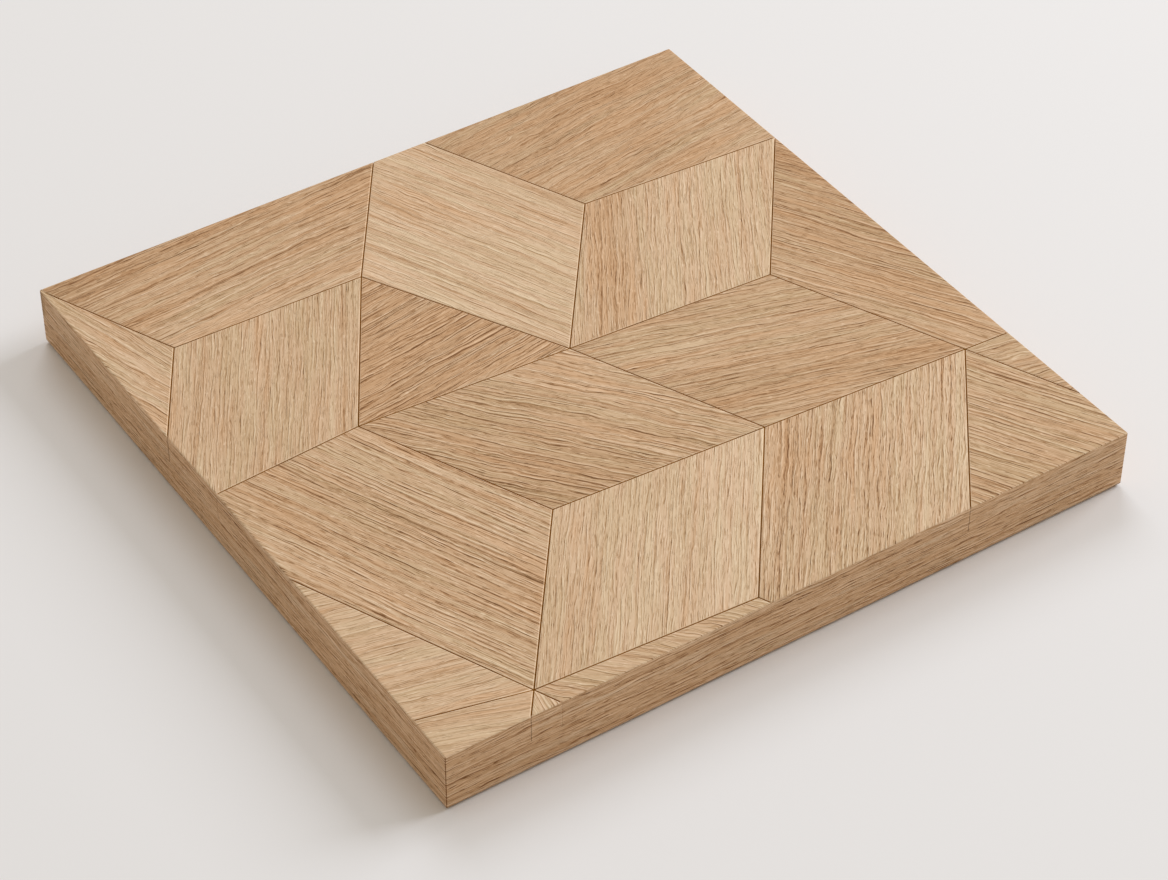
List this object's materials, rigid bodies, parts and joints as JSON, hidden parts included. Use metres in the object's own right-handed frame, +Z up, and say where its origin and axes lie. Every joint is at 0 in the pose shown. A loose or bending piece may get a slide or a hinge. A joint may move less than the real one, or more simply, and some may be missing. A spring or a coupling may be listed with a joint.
{
  "type": "parquet block",
  "caption": "Square block of solid oak parquet: rhombus and wedge pieces with fine bevelled joints on a solid base board.",
  "frame": {"origin": "centre of the underside", "axes": "+Z up through the thickness to the patterned face; +X along the front edge towards the right corner; +Y from the front edge towards the back edge"},
  "size_m": [0.25, 0.25, 0.022],
  "materials": {
    "oak_base": "sawn and sanded, matte oiled",
    "oak_light": "sanded, matte oiled",
    "oak_medium": "sanded, matte oiled",
    "oak_dark": "sanded, matte oiled"
  },
  "bodies": {
    "root": {"base_board": "oak_base", "back_corner_tile": "oak_dark", "back_rhombus_tile": "oak_light", "back_left_tile": "oak_dark", "back_right_rhombus_tile": "oak_light", "right_edge_tile": "oak_medium", "right_edge_wedge": "oak_light", "right_corner_tile": "oak_medium", "centre_right_rhombus_tile": "oak_medium", "centre_rhombus_tile": "oak_medium", "centre_triangle_tile": "oak_dark", "left_corner_wedge": "oak_light", "left_rhombus_tile": "oak_light", "left_edge_tile": "oak_medium", "left_edge_wedge": "oak_light", "front_corner_tile": "oak_light", "front_edge_wedge": "oak_light", "front_edge_tile": "oak_medium", "front_rhombus_tile": "oak_light", "front_right_rhombus_tile": "oak_medium"}
  },
  "joints": []
}
